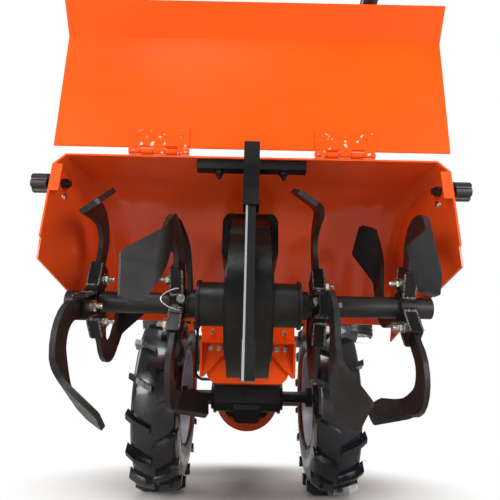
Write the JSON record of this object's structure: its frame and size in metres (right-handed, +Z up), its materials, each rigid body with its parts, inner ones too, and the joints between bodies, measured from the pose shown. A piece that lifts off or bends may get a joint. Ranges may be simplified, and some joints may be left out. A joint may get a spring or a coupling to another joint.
{
  "type": "walk-behind rotavator",
  "caption": "Self-propelled walk-behind rear-tine rotavator: front engine on a driven wheel pair, hooded tine rotor with raised flap, depth spur and handlebars.",
  "frame": {"origin": "on the floor, on the machine's middle plane, midway between the front plate and the ends of the grips", "axes": "+Y forward, towards the engine; +X to the machine's right; +Z up"},
  "size_m": [0.75, 1.805, 0.985],
  "materials": {
    "orange_paint": "satin",
    "black_casting": "satin",
    "tine_steel": "satin",
    "silver_rim": "satin",
    "zinc": "satin",
    "tyre_rubber": "matte",
    "grip_rubber": "matte",
    "black_plastic": "matte",
    "cast_aluminium": "matte",
    "black_tube": "gloss"
  },
  "bodies": {
    "chassis": {"transmission_case": "black_casting", "bell_housing": "orange_paint", "engine_crankcase": "cast_aluminium", "engine_cylinder": "cast_aluminium", "recoil_starter": "black_plastic", "fuel_tank": "orange_paint", "air_cleaner": "black_plastic", "carburettor": "zinc", "muffler": "tine_steel", "engine_cradle": "black_casting", "tiller_case": "black_casting", "coupling_bracket": "orange_paint", "hood_middle": "orange_paint", "hood_wing_left": "orange_paint", "hood_wing_right": "orange_paint", "hood_hinge_leaves": "orange_paint", "hood_crossbar": "black_casting", "spur_sleeve": "black_casting", "hood_knobs": "black_plastic", "handlebar_column": "black_casting", "gear_lever": "black_tube", "control_cables": "black_plastic"},
    "wheel_left": {"tyre_left": "tyre_rubber", "rim_left": "silver_rim", "axle_left": "black_casting"},
    "wheel_right": {"tyre_right": "tyre_rubber", "rim_right": "silver_rim", "axle_right": "black_casting"},
    "rotor": {"tine_shaft": "tine_steel", "tines_outer_left": "tine_steel", "tines_inner_left": "tine_steel", "tines_inner_right": "tine_steel", "tines_outer_right": "tine_steel"},
    "flap": {"rear_flap": "orange_paint", "flap_hinge_leaves": "orange_paint"},
    "spur": {"depth_spur": "black_casting"},
    "handles": {"handlebar": "black_tube", "grips": "grip_rubber", "hand_levers": "black_plastic"},
    "stand": {"parking_stand": "black_tube"}
  },
  "joints": [
    {"name": "wheel_left_spin", "type": "hinge", "parent": "chassis", "child": "wheel_left", "pos_m": [-0.187, 0.3025, 0.2075], "axis": [1, 0, 0], "continuous": true},
    {"name": "wheel_right_spin", "type": "hinge", "parent": "chassis", "child": "wheel_right", "pos_m": [0.187, 0.3025, 0.2075], "axis": [1, 0, 0], "continuous": true},
    {"name": "rotor_spin", "type": "hinge", "parent": "chassis", "child": "rotor", "pos_m": [0, -0.2175, 0.309], "axis": [1, 0, 0], "continuous": true},
    {"name": "flap_hinge", "type": "hinge", "parent": "chassis", "child": "flap", "pos_m": [0, -0.3075, 0.499], "axis": [1, 0, 0], "range_deg": [0, 80]},
    {"name": "spur_slide", "type": "slide", "parent": "chassis", "child": "spur", "axis": [0, 0, 1], "range_m": [-0.06, 0]},
    {"name": "handlebar_height", "type": "hinge", "parent": "chassis", "child": "handles", "pos_m": [0, 0.2625, 0.43], "axis": [-1, 0, 0], "range_deg": [0, 15]},
    {"name": "stand_fold", "type": "hinge", "parent": "chassis", "child": "stand", "pos_m": [0, 0.8505, 0.212], "axis": [1, 0, 0], "range_deg": [0, 80]}
  ]
}
